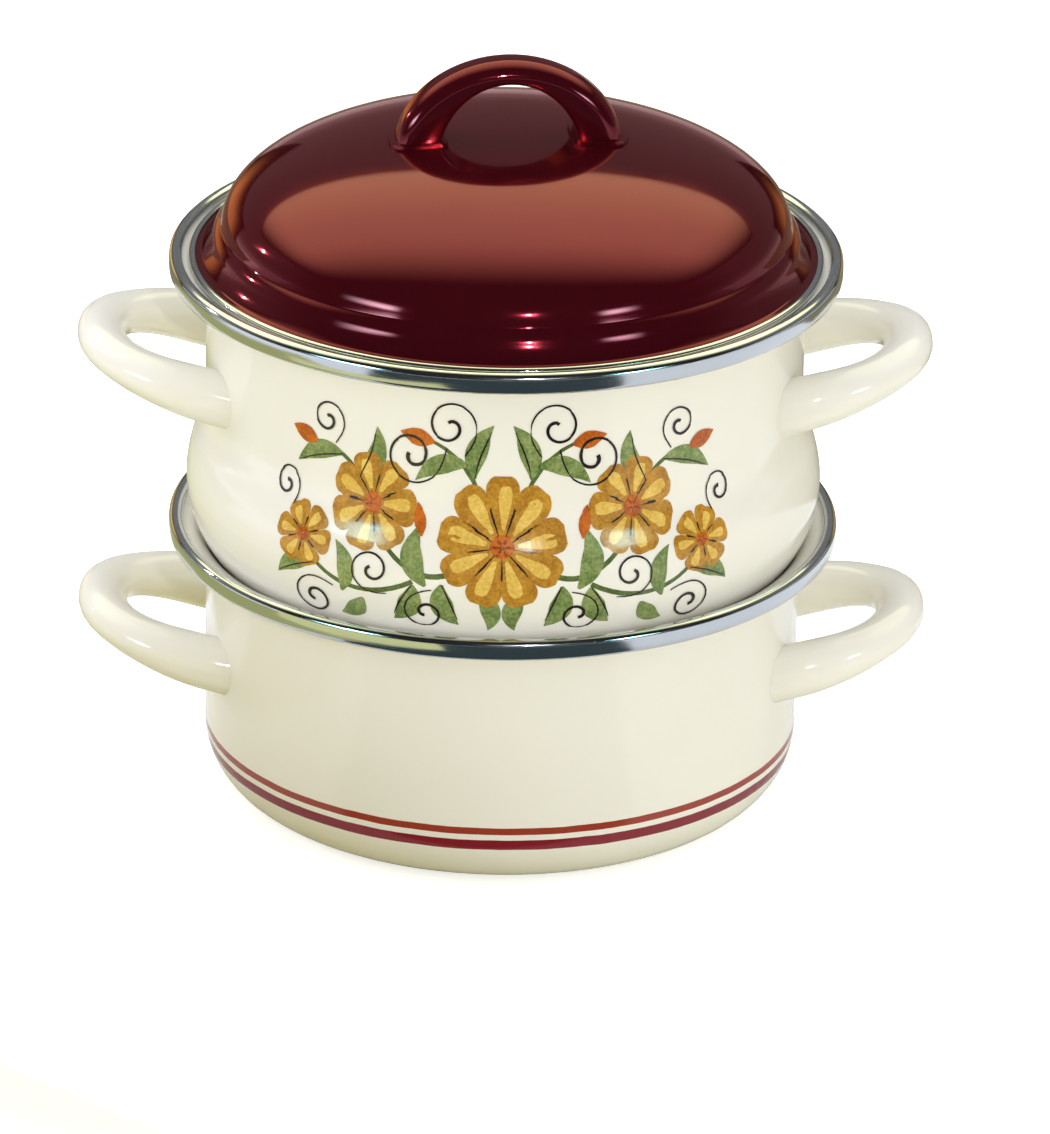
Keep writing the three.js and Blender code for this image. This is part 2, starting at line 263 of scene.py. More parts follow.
# Marks of the polishing wheel that run round a turned piece.
polish, given, out = effect(
    "wheel_polish",
    [("Roughness", "Float"), ("Depth", "Float")],
    [("Roughness", "Float"), ("Normal", "Vector")],
)
place = put(polish, "ShaderNodeTexCoord").outputs["Object"]
flat = put(polish, "ShaderNodeVectorMath", {0: place, 1: (1, 1, 0)}, operation="MULTIPLY")
reach = put(polish, "ShaderNodeVectorMath", {0: flat.outputs[0]}, operation="LENGTH")
axes = put(polish, "ShaderNodeSeparateXYZ", {0: place})
turn = maths(polish, "ARCTAN2", axes.outputs["Y"], axes.outputs["X"])
slow = maths(polish, "MULTIPLY", turn, 0.004)
round_axis = put(polish, "ShaderNodeCombineXYZ", {
    "X": reach.outputs["Value"], "Y": slow, "Z": axes.outputs["Z"]})
scratch = put(polish, "ShaderNodeTexNoise", {"Vector": round_axis.outputs[0], "Scale": 2600, "Detail": 3})
worn = put(polish, "ShaderNodeTexNoise", {"Vector": place, "Scale": 30, "Detail": 3})
both = maths(polish, "ADD", scratch.outputs["Fac"], worn.outputs["Fac"])
spread = put(polish, "ShaderNodeMapRange", {
    "Value": both, "From Min": 0.7, "From Max": 1.3, "To Min": 0.6, "To Max": 1.5})
matt = maths(polish, "MULTIPLY", spread.outputs[0], given["Roughness"])
bump = put(polish, "ShaderNodeBump", {
    "Strength": given["Depth"], "Distance": 0.02 * MM, "Height": scratch.outputs["Fac"]})
polish.links.new(matt, out["Roughness"])
polish.links.new(bump.outputs[0], out["Normal"])

rim_steel, tree, shader = finish("rim_steel")
marks = put(tree, "ShaderNodeGroup", {"Roughness": 0.13, "Depth": 0.3}, node_tree=polish)
for socket in ("Roughness", "Normal"):
    tree.links.new(marks.outputs[socket], shader.inputs[socket])
shader.inputs["Base Color"].default_value = STEEL
shader.inputs["Metallic"].default_value = 1


def cut_away(piece, cutter, operation="DIFFERENCE"):
    """Takes the cutter out of the piece, or all that is outside it, and throws the cutter away."""
    cut = piece.modifiers.new("cut", "BOOLEAN")
    cut.operation, cut.solver, cut.object = operation, "EXACT", cutter
    bpy.context.view_layer.objects.active = piece
    bpy.ops.object.modifier_apply(modifier=cut.name)
    bpy.data.objects.remove(cutter)


def rolled_rim(name, inside, outside, height, lip_edge, lip_middle):
    """A ring of round section, drawn taller, with a slot for the sheet that it grips."""
    width = outside - inside
    bpy.ops.object.select_all(action="DESELECT")
    bpy.ops.mesh.primitive_torus_add(
        major_radius=(inside + outside) / 2, minor_radius=width / 2,
        major_segments=ROUND, minor_segments=RIM_FACETS, location=(0, 0, lip_middle))
    bpy.ops.object.transform_apply(location=True, rotation=False, scale=False)
    piece = bpy.context.object
    piece.name = piece.data.name = name
    bpy.ops.object.mode_set(mode="EDIT")
    pick(piece, "FACE", lambda at: at.z > lip_middle - NEAR)
    bpy.ops.mesh.extrude_region_move(TRANSFORM_OT_translate={"value": (0, 0, height - width)})
    bpy.ops.mesh.select_all(action="SELECT")
    bpy.ops.transform.translate(value=(0, 0, (width - height) / 2))
    bpy.ops.mesh.normals_make_consistent(inside=False)
    bpy.ops.object.mode_set(mode="OBJECT")
    bpy.ops.mesh.primitive_cylinder_add(
        vertices=ROUND, radius=lip_edge + SLOT_PLAY, depth=SHEET + 2 * SLOT_PLAY, location=(0, 0, lip_middle))
    cut_away(piece, bpy.context.object)
    piece.select_set(True)
    bpy.ops.object.shade_smooth_by_angle(angle=SMOOTH)
    piece.data.materials.append(rim_steel)
    return piece


for pot, node, lip in (
        ("lower_pot", "lower_pot_rim", LOWER_LIP), ("steamer_pot", "steamer_rim", STEAMER_LIP)):
    rim = rolled_rim(pot + "_rolled_rim", RIM_INSIDE, RIM_OUTSIDE, RIM_HEIGHT, LIP_EDGE, lip - SHEET / 2)
    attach(rim, pot)
    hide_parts(node)

# Loop handles, two on each pot. Flattened steel tube bent to a half loop that rises outwards, its ends
# cut to the wall, swollen a little, welded on and enamelled cream together with the pot.
HANDLE_REACH = 31.2 * MM
HANDLE_SPREAD = 30.5 * MM
HANDLE_BEND = 2 / 2.22  # power of the sine and cosine that draw the loop
HANDLE_RISE = math.radians(14.4)
HANDLE_ROOT = 4 * MM
HANDLE_TAIL = 9 * MM
HANDLE_STEPS = 40
GRIP_THICKNESS, GRIP_HEIGHT = 14.9 * MM, 11.7 * MM
ROOT_THICKNESS, ROOT_HEIGHT = 16.4 * MM, 16.3 * MM
ROOT_FLARE = 6
TUBE_CORNER = 0.47  # of the tube's height
LOWER_HANDLE = 49.7 * MM  # height of the loop's middle at the wall
STEAMER_HANDLE = 136.42 * MM
WALL_CUTTER = 100 * MM


def loop_point(step):
    """Centre and swelling of the tube at a step along the loop, lying flat."""
    turn = math.pi * (step / HANDLE_STEPS - 0.5)
    bow = abs(math.cos(turn)) ** HANDLE_BEND
    side = math.copysign(abs(math.sin(turn)) ** HANDLE_BEND, turn)
    out = (bow * (HANDLE_REACH + HANDLE_ROOT) - HANDLE_ROOT) / math.cos(HANDLE_RISE)
    swell = abs(math.sin(turn)) ** ROOT_FLARE
    return Vector((WALL + out, side * HANDLE_SPREAD, 0)), swell


def loop_handle(name):
    """The tube drawn along its loop on the +X side, tilted up, with its ends still inside the wall."""
    stops = [loop_point(step) for step in range(HANDLE_STEPS + 1)]
    tail = Vector((-HANDLE_TAIL, 0, 0))
    stops = [(stops[0][0] + tail, 1), *stops, (stops[-1][0] + tail, 1)]
    bpy.ops.object.select_all(action="DESELECT")
    bpy.ops.mesh.primitive_plane_add(size=1, location=stops[0][0], rotation=(math.pi / 2, 0, math.pi / 2))
    piece = bpy.context.object
    piece.name = piece.data.name = name
    piece.scale = (ROOT_THICKNESS, ROOT_HEIGHT, 1)
    bpy.ops.object.transform_apply(location=True, rotation=True, scale=True)
    bpy.ops.object.mode_set(mode="EDIT")
    bpy.ops.mesh.select_all(action="SELECT")
    bpy.ops.mesh.bevel(offset=TUBE_CORNER * ROOT_HEIGHT, segments=6, affect="VERTICES")
    heading = 0
    thick, high = ROOT_THICKNESS, ROOT_HEIGHT
    for i in range(1, len(stops)):
        centre, swell = stops[i]
        step = centre - stops[i - 1][0]
        bpy.ops.mesh.extrude_region_move(TRANSFORM_OT_translate={"value": step})
        ahead = stops[min(i + 1, len(stops) - 1)][0] - stops[i - 1][0]
        turn = math.atan2(ahead.y, ahead.x) if i < len(stops) - 1 else math.pi
        next_thick = GRIP_THICKNESS + swell * (ROOT_THICKNESS - GRIP_THICKNESS)
        next_high = GRIP_HEIGHT + swell * (ROOT_HEIGHT - GRIP_HEIGHT)
        broader = next_thick / thick
        bpy.ops.transform.resize(value=(broader, broader, next_high / high), center_override=centre)
        bpy.ops.transform.rotate(value=heading - turn, orient_axis="Z", center_override=centre)
        heading, thick, high = turn, next_thick, next_high
    bpy.ops.mesh.select_all(action="SELECT")
    bpy.ops.transform.rotate(value=HANDLE_RISE, orient_axis="Y", center_override=(WALL, 0, 0))
    bpy.ops.mesh.normals_make_consistent(inside=False)
    bpy.ops.object.mode_set(mode="OBJECT")
    return piece


plain_cream = cream_enamel("cream_enamel")[0]
for pot, prefix, middle in (
        ("lower_pot", "lower_pot", LOWER_HANDLE), ("steamer_pot", "steamer", STEAMER_HANDLE)):
    for side, angle in (("right", 0), ("left", math.pi)):
        handle = loop_handle(prefix + "_loop_" + side)
        bpy.ops.mesh.primitive_cylinder_add(vertices=ROUND, radius=WALL, depth=WALL_CUTTER)
        cut_away(handle, bpy.context.object)
        handle.select_set(True)
        bpy.ops.object.mode_set(mode="EDIT")
        bpy.ops.mesh.select_all(action="SELECT")
        bpy.ops.transform.translate(value=(0, 0, middle))
        bpy.ops.transform.rotate(value=angle, orient_axis="Z", center_override=(0, 0, 0))
        bpy.ops.object.mode_set(mode="OBJECT")
        bpy.ops.object.shade_smooth_by_angle(angle=SMOOTH)
        handle.data.materials.append(plain_cream)
        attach(handle, pot)
        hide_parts(prefix + "_handle_" + side)

# Steamer pot. Drawn from the same sheet, with a belly that hangs in the lower pot's flared lip, a
# neck like the lower pot's wall, and rings of punched holes in its base that let the steam through.
STEAMER_BASE = 66.12 * MM
BELLY = 95.8 * MM
BELLY_ARC = 35 * MM
BELLY_TOP = 108.4 * MM
STEAMER_FLAT = BELLY - 1.05 * BELLY_ARC  # radius of the flat base
NECK_FOOT = 121.7 * MM
NECK_EASE = 7.2 * MM
HOLE_RADIUS = 3 * MM
HOLE_PITCH = 15 * MM
HOLE_RINGS = 3
HOLE_EDGE = 0.3 * MM
PUNCH_FACETS = 24
PUNCH_LENGTH = 6 * SHEET
SHARP = math.radians(60)

steamer_under = STEAMER_LIP - SHEET
steamer = turned("steamer_shell", [
    (STEAMER_FLAT, STEAMER_BASE), (BELLY, STEAMER_BASE), (BELLY, BELLY_TOP), (WALL, NECK_FOOT),
    (WALL, steamer_under), (LIP_EDGE, steamer_under)])
close_ring(steamer, STEAMER_FLAT, STEAMER_BASE)
round_ring(steamer, BELLY, STEAMER_BASE, BELLY_ARC, 18)
round_ring(steamer, BELLY, BELLY_TOP, NECK_EASE, 6)
round_ring(steamer, WALL, NECK_FOOT, NECK_EASE, 6)
round_ring(steamer, WALL, steamer_under, FLARE, 8)
give_sheet(steamer)

bpy.ops.object.select_all(action="DESELECT")
bpy.ops.mesh.primitive_cylinder_add(
    vertices=PUNCH_FACETS, radius=HOLE_RADIUS, depth=PUNCH_LENGTH, location=(0, 0, STEAMER_BASE))
punches = bpy.context.object
for ring in range(1, HOLE_RINGS + 1):
    bpy.ops.object.select_all(action="DESELECT")
    bpy.ops.mesh.primitive_cylinder_add(
        vertices=PUNCH_FACETS, radius=HOLE_RADIUS, depth=PUNCH_LENGTH,
        location=(ring * HOLE_PITCH, 0, STEAMER_BASE))
    bpy.ops.object.transform_apply(location=True, rotation=False, scale=False)
    count = 6 * ring
    bpy.ops.object.mode_set(mode="EDIT")
    bpy.ops.mesh.select_all(action="SELECT")
    bpy.ops.mesh.spin(steps=count - 1, dupli=True, angle=2 * math.pi * (count - 1) / count,
                      center=(0, 0, 0), axis=(0, 0, 1))
    bpy.ops.object.mode_set(mode="OBJECT")
    punches.select_set(True)
    bpy.context.view_layer.objects.active = punches
    bpy.ops.object.join()
cut_away(steamer, punches)
steamer.select_set(True)
edges = steamer.modifiers.new("edges", "BEVEL")
edges.width, edges.segments, edges.limit_method, edges.angle_limit = HOLE_EDGE, 2, "ANGLE", SHARP
bpy.ops.object.modifier_apply(modifier=edges.name)
bpy.ops.object.shade_smooth_by_angle(angle=SMOOTH)
steamer.data.materials.append(plain_cream)
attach(steamer, "steamer_pot")
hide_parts("steamer_body")

# Print on the front of the steamer pot. A garland of folk-style brush strokes, fired onto the enamel
# one colour after the other: leaves and stems, petals, their lights, buds, and fine dark scrolls last.
PRINT_MIDDLE = 120 * MM
PRINT_LIFT = 0.05 * MM  # of the first colour off the enamel
PRINT_LAYER = 0.04 * MM
PRINT_THICKNESS = 0.03 * MM
PRINT_MERGE = 0.001 * MM
STROKE_SIDES = 3
STROKE_STEPS = 5

# Ink laid on by hand: darker and lighter washes, and the drag of the brush.
ink, given, out = effect("hand_laid_ink", [("Color", "Color"), ("Deep Color", "Color")], [("Color", "Color")])
place = put(ink, "ShaderNodeTexCoord").outputs["Object"]
wash = put(ink, "ShaderNodeTexNoise", {"Vector": place, "Scale": 210, "Detail": 3})
drag = put(ink, "ShaderNodeTexNoise", {"Vector": place, "Scale": 1100, "Detail": 2})
laid = maths(ink, "ADD", wash.outputs["Fac"], drag.outputs["Fac"])
depth = put(ink, "ShaderNodeMapRange", {"Value": laid, "From Min": 0.8, "From Max": 1.25})
wet = mixed(ink, depth.outputs[0], given["Deep Color"], given["Color"])
ink.links.new(wet, out["Color"])


def petals(middle, count, start, end, width, first=0.0):
    """Strokes that run out from the middle of a blossom and swell towards their ends."""
    strokes = []
    for i in range(count):
        turn = first + 2 * math.pi * i / count
        along = (math.sin(turn), math.cos(turn))
        strokes.append([
            (middle[0] + along[0] * (start + share * (end - start)),
             middle[1] + along[1] * (start + share * (end - start)), width * wide)
            for share, wide in ((0, 0.25), (0.25, 0.55), (0.6, 1.05), (0.9, 1.1), (1, 0.5))])
    return strokes


def leaf(foot, tip, width, bow=0.18):
    """A stroke that swells in its middle and runs out in a point, bowed to one side."""
    run = (tip[0] - foot[0], tip[1] - foot[1])
    return [(foot[0] + share * run[0] - bow * run[1] * 4 * share * (1 - share),
             foot[1] + share * run[1] + bow * run[0] * 4 * share * (1 - share), width * wide)
            for share, wide in ((0, 0.12), (0.2, 0.75), (0.45, 1.1), (0.75, 0.7), (1, 0.02))]


def curl(foot, eye, turns, width):
    """A scroll that winds in from its foot to its eye and grows thicker."""
    steps = max(8, round(9 * abs(turns)))
    size, first = math.dist(foot, eye), math.atan2(foot[0] - eye[0], foot[1] - eye[1])
    stroke = []
    for i in range(steps + 1):
        share = i / steps
        turn, away = first + 2 * math.pi * turns * share, size * (1 - 0.88 * share)
        stroke.append((eye[0] + away * math.sin(turn), eye[1] + away * math.cos(turn),
                       width * (0.45 + 0.8 * share)))
    return stroke


def both_sides(strokes):
    return strokes + [[(-across, up, width) for across, up, width in stroke] for stroke in strokes]


# The design, in millimetres across and up from its middle. Blossoms first, then their stems, the leaves,
# the petals and their lights, the buds, and the thin lines.
HEART = (0, -4)
SIDE_HEART = (42, 5)
OUTER_HEART = (65, -9)
stems = both_sides([
    [(10, -10, 0.9), (21, -19, 0.9), (32, -15, 0.8), (41, 0, 0.6)],
    [(27, -17, 0.8), (42, -26, 0.8), (56, -22, 0.7), (64, -12, 0.5)],
    [(46, 10, 0.7), (53, 20, 0.7), (64, 19, 0.5)],
    [(7, 9, 0.7), (12, 22, 0.7), (23, 26, 0.5)]])
leaves = both_sides([
    leaf((18, -17), (13, -31), 3.9),
    leaf((27, -18), (33, -31), 4.0, -0.16),
    leaf((23, -18), (26, 1), 3.9, -0.2),
    leaf((43, -25), (51, -33), 3.4, -0.16),
    leaf((50, -24), (53, -8), 3.2, 0.2),
    leaf((60, -17), (74, -24), 3.3, 0.16),
    leaf((47, 11), (41, 28), 3.7, 0.2),
    leaf((53, 17), (71, 11), 3.3, 0.16),
    leaf((11, 19), (28, 13), 3.4, 0.18),
    leaf((9, 15), (3, 32), 3.7, -0.15),
    leaf((7, -19), (4, -33), 3.3, -0.2)])
ochre = petals(HEART, 9, 3, 20, 5.3) + both_sides(
    petals(SIDE_HEART, 7, 2.4, 14.5, 4.9, 0.2) + petals(OUTER_HEART, 6, 2, 10.2, 4, 0.4))
lights = petals(HEART, 9, 5, 17, 2.1, 0.06) + both_sides(
    petals(SIDE_HEART, 7, 3.6, 12.4, 1.8, 0.27) + petals(OUTER_HEART, 6, 3, 8.7, 1.45, 0.47))
buds = petals(HEART, 6, 0.2, 3.6, 2) + both_sides(
    petals(SIDE_HEART, 5, 0.2, 2.8, 1.6) + petals(OUTER_HEART, 5, 0.2, 2.1, 1.3)
    + [leaf((63, 19), (73, 22), 2.9, 0), leaf((22, 25.6), (33, 28), 3, 0), leaf((25, -2), (27, 7), 2.1, 0)])
stamens = petals(HEART, 9, 3.4, 11, 0.3, math.pi / 9) + both_sides(
    petals(SIDE_HEART, 7, 2.8, 8.2, 0.27, 0.2 + math.pi / 7)
    + petals(OUTER_HEART, 6, 2.2, 5.8, 0.25, 0.4 + math.pi / 6))
curls = both_sides([
    curl((18, 24), (29, 21), -1.6, 0.5),
    curl((21, -19), (23, -27), 1.5, 0.45),
    curl((56, 20), (59, 27), 1.5, 0.45),
    curl((53, -23), (60, -29), 1.6, 0.48),
    curl((71, -1), (75, 4), 1.4, 0.42),
    curl((12, 22), (17, 31), 1.5, 0.45),
    curl((35, -22), (40, -15), -1.5, 0.42)])
veins = both_sides([
    [(18, -17, 0.15), (15, -23, 0.38), (13.2, -29, 0.1)],
    [(27, -18, 0.15), (31.6, -24, 0.38), (32.8, -29, 0.1)],
    [(47, 11, 0.15), (42.4, 19.5, 0.38), (41.4, 26, 0.1)],
    [(60, -17, 0.15), (67.6, -19.4, 0.34), (73, -23, 0.1)],
    [(9, 15, 0.15), (7, 24, 0.38), (3.6, 30, 0.1)],
    [(53, 17, 0.15), (62.6, 15.4, 0.34), (69.5, 11.8, 0.1)]])

for layer, (name, strokes, colour, deep) in enumerate((
        ("print_stems", stems, (0.13, 0.19, 0.05, 1), (0.07, 0.11, 0.03, 1)),
        ("print_leaves", leaves, (0.3, 0.36, 0.13, 1), (0.12, 0.19, 0.05, 1)),
        ("print_petals", ochre, (0.58, 0.3, 0.035, 1), (0.36, 0.16, 0.015, 1)),
        ("print_lights", lights, (0.82, 0.58, 0.14, 1), (0.66, 0.4, 0.06, 1)),
        ("print_buds", buds, (0.62, 0.16, 0.012, 1), (0.38, 0.08, 0.01, 1)),
        ("print_scrolls", stamens + curls + veins, (0.035, 0.024, 0.018, 1), (0.015, 0.011, 0.01, 1)))):
    bpy.ops.object.select_all(action="DESELECT")
    bpy.ops.curve.primitive_nurbs_path_add()
    drawn = bpy.context.object
    drawn.data.splines.clear()
    drawn.data.dimensions = "2D"
    drawn.data.bevel_depth, drawn.data.bevel_resolution = MM, STROKE_SIDES
    drawn.data.resolution_u = STROKE_STEPS
    for stroke in strokes:
        spline = drawn.data.splines.new("NURBS")
        spline.points.add(len(stroke) - 1)
        for point, (across, up, width) in zip(spline.points, stroke):
            point.co = (across * MM, up * MM, 0, 1)
            point.radius = width
        spline.order_u, spline.use_endpoint_u = min(4, len(stroke)), True
    bpy.ops.object.convert(target="MESH")
    sheet = bpy.context.object
    sheet.name = sheet.data.name = name
    bpy.ops.object.mode_set(mode="EDIT")
    bpy.ops.mesh.select_all(action="SELECT")
    bpy.ops.transform.resize(value=(1, 1, 0), center_override=(0, 0, 0))
    bpy.ops.mesh.remove_doubles(threshold=PRINT_MERGE)
    bpy.ops.object.mode_set(mode="OBJECT")
    sheet.rotation_euler = (math.pi / 2, 0, 0)
    bpy.ops.object.transform_apply(location=False, rotation=True, scale=False)
    wrap = sheet.modifiers.new("wrap", "SIMPLE_DEFORM")
    wrap.deform_method, wrap.deform_axis, wrap.angle = "BEND", "Z", sheet.dimensions.x / BELLY
    bpy.ops.object.modifier_apply(modifier=wrap.name)
    sheet.location = (0, -BELLY - MM, PRINT_MIDDLE)
    bpy.ops.object.transform_apply(location=True, rotation=False, scale=False)
    lay = sheet.modifiers.new("lay", "SHRINKWRAP")
    lay.target, lay.wrap_mode, lay.offset = steamer, "ABOVE_SURFACE", PRINT_LIFT + layer * PRINT_LAYER
    bpy.ops.object.modifier_apply(modifier=lay.name)
    bpy.ops.object.mode_set(mode="EDIT")
    bpy.ops.mesh.select_mode(type="FACE")
    bpy.ops.mesh.select_all(action="DESELECT")
    bpy.ops.object.mode_set(mode="OBJECT")
    for face in sheet.data.polygons:
        face.select = face.normal.xy.dot(face.center.xy) < 0
    bpy.ops.object.mode_set(mode="EDIT")
    bpy.ops.mesh.flip_normals()
    bpy.ops.object.mode_set(mode="OBJECT")
    film = sheet.modifiers.new("film", "SOLIDIFY")
    film.thickness, film.offset = PRINT_THICKNESS, 1
    bpy.ops.object.modifier_apply(modifier=film.name)
    bpy.ops.object.shade_smooth_by_angle(angle=SMOOTH)
    fired, tree, shader = finish(name)
    laid = put(tree, "ShaderNodeGroup", {"Color": colour, "Deep Color": deep}, node_tree=ink)
    tree.links.new(laid.outputs["Color"], shader.inputs["Base Color"])
    shader.inputs["Roughness"].default_value = 0.16
    sheet.data.materials.append(fired)
    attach(sheet, "steamer_pot")

# Lid. A dome drawn from sheet steel, with a groove, a bead and a hollow flare at its foot and a narrow
# lip that the lid's own thin steel rim grips. Its enamel is a clear deep burgundy, so that the steel's
# gloss comes back red through it, under a last clear firing.
LID_LIP = 171.3 * MM  # top of the lip
LID_LIP_EDGE = 94.15 * MM
WAIST = 88.2 * MM  # where the bead under the dome turns into the flare above the lip
WAIST_HEIGHT = 177 * MM
WAIST_LEAN = math.radians(18)
BEAD_TOP_LEAN = math.radians(48)
BEAD_BEND = 8.7 * MM
FLARE_FOOT_LEAN = math.radians(42)
SHOULDER_STEPS = 8
SHOULDER_ROUND = 0.4 * MM
DOME_WALL = 85.7 * MM
DOME_FOOT = 178.86 * MM  # where the dome's curve would stand upright, inside the bead
DOME_RISE = 30.6 * MM
DOME_BEND = 2 / 2.2  # power of the sine and cosine that draw the dome
DOME_STEPS = 30
LID_RIM_INSIDE = 92.9 * MM
LID_RIM_OUTSIDE = 95.2 * MM
LID_RIM_HEIGHT = 2.5 * MM
BURGUNDY = (0.122, 0.007, 0.015, 1)
BURGUNDY_GLOSS = (1.0, 0.22, 0.22, 1)

burgundy, tree, shader = finish("burgundy_enamel")
glaze_over(tree, shader, Color=BURGUNDY, Drift=0.12, Specks=0.3, Roughness=0.11, Peel=0.2)
for socket, value in (
        ("Metallic", 0.68), ("IOR", 1.5), ("Specular Tint", BURGUNDY_GLOSS),
        ("Coat Weight", 0.38), ("Coat Roughness", 0.03), ("Coat IOR", 1.5)):
    shader.inputs[socket].default_value = value

dome_rings = []
for step in range(DOME_STEPS):
    turn = 0.5 * math.pi * step / DOME_STEPS
    dome_rings.append((DOME_WALL * math.cos(turn) ** DOME_BEND,
                       DOME_FOOT + DOME_RISE * math.sin(turn) ** DOME_BEND))
flare_bend = (WAIST_HEIGHT - LID_LIP) / (math.sin(FLARE_FOOT_LEAN) - math.sin(WAIST_LEAN))
flare_rings, bead_rings = [], []
for step in range(SHOULDER_STEPS):
    lean = WAIST_LEAN + (FLARE_FOOT_LEAN - WAIST_LEAN) * (1 - step / SHOULDER_STEPS)
    flare_rings.append((WAIST + flare_bend * (math.cos(WAIST_LEAN) - math.cos(lean)),
                        WAIST_HEIGHT - flare_bend * (math.sin(lean) - math.sin(WAIST_LEAN))))
for step in range(SHOULDER_STEPS + 1):
    lean = WAIST_LEAN + (BEAD_TOP_LEAN - WAIST_LEAN) * step / SHOULDER_STEPS
    bead_rings.append((WAIST - BEAD_BEND * (math.cos(WAIST_LEAN) - math.cos(lean)),
                       WAIST_HEIGHT + BEAD_BEND * (math.sin(lean) - math.sin(WAIST_LEAN))))
groove = bead_rings[-1]
lid = turned("lid_shell", [(LID_LIP_EDGE, LID_LIP), *flare_rings, *bead_rings,
                           *(ring for ring in dome_rings if ring[1] > groove[1] + SHOULDER_ROUND)])
close_ring(lid, *dome_rings[-1])
for ring in (groove, flare_rings[0]):
    round_ring(lid, *ring, SHOULDER_ROUND, 3)
give_sheet(lid)
lid.data.materials.append(burgundy)
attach(lid, "lid")
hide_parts("lid_dome")

lid_rim = rolled_rim("lid_rolled_rim", LID_RIM_INSIDE, LID_RIM_OUTSIDE, LID_RIM_HEIGHT, LID_LIP_EDGE,
                     LID_LIP - SHEET / 2)
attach(lid_rim, "lid")
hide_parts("lid_rim")

# Lid handle. A strap of pressed steel, bent to an arch that is broad at its feet and thin at its
# crown, welded to the dome with a small lip round each foot, and enamelled with the lid.
LID_TURN = math.radians(6)
ARCH_HALF_SPAN = 34.4 * MM
ARCH_HALF_GAP = 21 * MM
ARCH_BASE = 204.06 * MM
ARCH_OUTER_RISE = 29.5 * MM
ARCH_INNER_RISE = 22.9 * MM
ARCH_DEPTH = 14 * MM
ARCH_OUTER_EDGE = 5 * MM
ARCH_INNER_EDGE = 1.4 * MM
ARCH_FACETS = 96
FOOT_LIP = 1.7 * MM
FOOT_LIP_RISE = 1.1 * MM
DOME_INNER_RINGS = 6  # the arch stands inside this ring of the dome


def half_arch(name, fuller):
    """The upper half of an oval ring in the XZ plane, given its depth, all round fuller by a margin."""
    bpy.ops.object.select_all(action="DESELECT")
    bpy.ops.mesh.primitive_circle_add(vertices=ARCH_FACETS, radius=1, rotation=(math.pi / 2, 0, 0))
    piece = bpy.context.object
    piece.name = piece.data.name = name
    bpy.ops.object.transform_apply(location=False, rotation=True, scale=False)
    bpy.ops.object.mode_set(mode="EDIT")
    bpy.ops.mesh.select_mode(type="EDGE")
    bpy.ops.mesh.select_all(action="SELECT")
    bpy.ops.transform.resize(
        value=(ARCH_HALF_SPAN + fuller, 1, ARCH_OUTER_RISE + fuller), center_override=(0, 0, 0))
    bpy.ops.mesh.duplicate()
    bpy.ops.transform.resize(
        value=((ARCH_HALF_GAP - fuller) / (ARCH_HALF_SPAN + fuller), 1,
               (ARCH_INNER_RISE - fuller) / (ARCH_OUTER_RISE + fuller)),
        center_override=(0, 0, 0))
    bpy.ops.mesh.select_all(action="SELECT")
    bpy.ops.mesh.bridge_edge_loops()
    bpy.ops.mesh.select_all(action="SELECT")
    bpy.ops.mesh.bisect(plane_co=(0, 0, 0.01 * MM), plane_no=(0, 0, 1), clear_inner=True)
    bpy.ops.mesh.select_all(action="SELECT")
    bpy.ops.transform.translate(value=(0, -ARCH_DEPTH / 2 - fuller, ARCH_BASE))
    bpy.ops.mesh.extrude_region_move(TRANSFORM_OT_translate={"value": (0, ARCH_DEPTH + 2 * fuller, 0)})
    bpy.ops.mesh.select_all(action="SELECT")
    bpy.ops.mesh.normals_make_consistent(inside=False)
    side = ARCH_DEPTH / 2 + fuller - NEAR
    for half_span, rise, by in (
            (ARCH_HALF_SPAN + fuller, ARCH_OUTER_RISE + fuller, ARCH_OUTER_EDGE + fuller),
            (ARCH_HALF_GAP - fuller, ARCH_INNER_RISE - fuller, ARCH_INNER_EDGE)):
        for face in (-1, 1):
            pick(piece, "EDGE", lambda at: face * at.y > side and abs(
                math.hypot(at.x / half_span, (at.z - ARCH_BASE) / rise) - 1) < 0.01)
            bpy.ops.mesh.bevel(offset=by, segments=8, affect="EDGES")
    bpy.ops.object.mode_set(mode="OBJECT")
    return piece


def under_dome(name, fuller):
    """Everything below the dome's outer surface, fuller by a margin."""
    rings = [(radius + fuller, height + fuller) for radius, height in dome_rings[DOME_INNER_RINGS:]]
    piece = turned(name, [(rings[0][0], LID_LIP), *rings])
    close_ring(piece, rings[0][0], LID_LIP)
    close_ring(piece, *rings[-1])
    bpy.ops.mesh.select_all(action="SELECT")
    bpy.ops.mesh.normals_make_consistent(inside=False)
    bpy.ops.object.mode_set(mode="OBJECT")
    return piece


arch = half_arch("lid_arch", 0)
cut_away(arch, under_dome("dome_cutter", 0))
weld = half_arch("lid_weld", FOOT_LIP)
cut_away(weld, under_dome("weld_cutter", FOOT_LIP_RISE), "INTERSECT")
cut_away(weld, under_dome("dome_cutter", 0))
for piece in (arch, weld):
    bpy.ops.object.select_all(action="DESELECT")
    piece.select_set(True)
    bpy.context.view_layer.objects.active = piece
    bpy.ops.object.mode_set(mode="EDIT")
    bpy.ops.mesh.select_all(action="SELECT")
    bpy.ops.transform.rotate(value=-LID_TURN, orient_axis="Z", center_override=(0, 0, 0))
    bpy.ops.object.mode_set(mode="OBJECT")
    bpy.ops.object.shade_smooth_by_angle(angle=SMOOTH)
    piece.data.materials.append(burgundy)
    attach(piece, "lid")
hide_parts("lid_handle")

